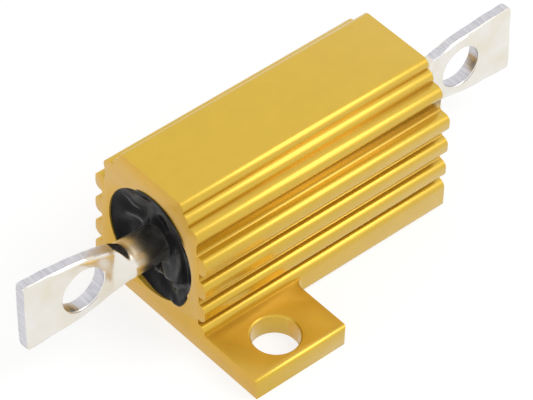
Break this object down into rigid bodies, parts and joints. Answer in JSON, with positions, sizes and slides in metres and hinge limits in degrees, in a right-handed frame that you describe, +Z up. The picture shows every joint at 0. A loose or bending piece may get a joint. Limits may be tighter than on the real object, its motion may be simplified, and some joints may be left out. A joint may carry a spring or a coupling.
{
  "type": "aluminium housed power resistor",
  "caption": "Small wirewound power resistor potted in a finned gold anodised aluminium housing, with diagonal screw feet and a flattened solder lug at each end.",
  "frame": {"origin": "middle of the base, under the centre of the housing", "axes": "+X along the housing from one solder lug to the other, +Z up from the mounting face"},
  "size_m": [0.0318, 0.0162, 0.0088],
  "materials": {
    "gold_anodised": "gold anodised over a bright drawn extrusion, with matt sawn ends and milled feet",
    "black_silicone": "glossy black silicone moulding compound",
    "core_ceramic": "unglazed",
    "resistance_wire": "dull oxidised alloy wire",
    "cap_steel": "bright pressed steel",
    "tinned_metal": "bright tinned, slightly uneven"
  },
  "bodies": {
    "root": {"housing": "gold_anodised", "silicone_moulding": "black_silicone", "ceramic_core": "core_ceramic", "resistance_winding": "resistance_wire", "end_cap_near": "cap_steel", "end_cap_far": "cap_steel", "terminal_near": "tinned_metal", "terminal_far": "tinned_metal"}
  },
  "joints": []
}
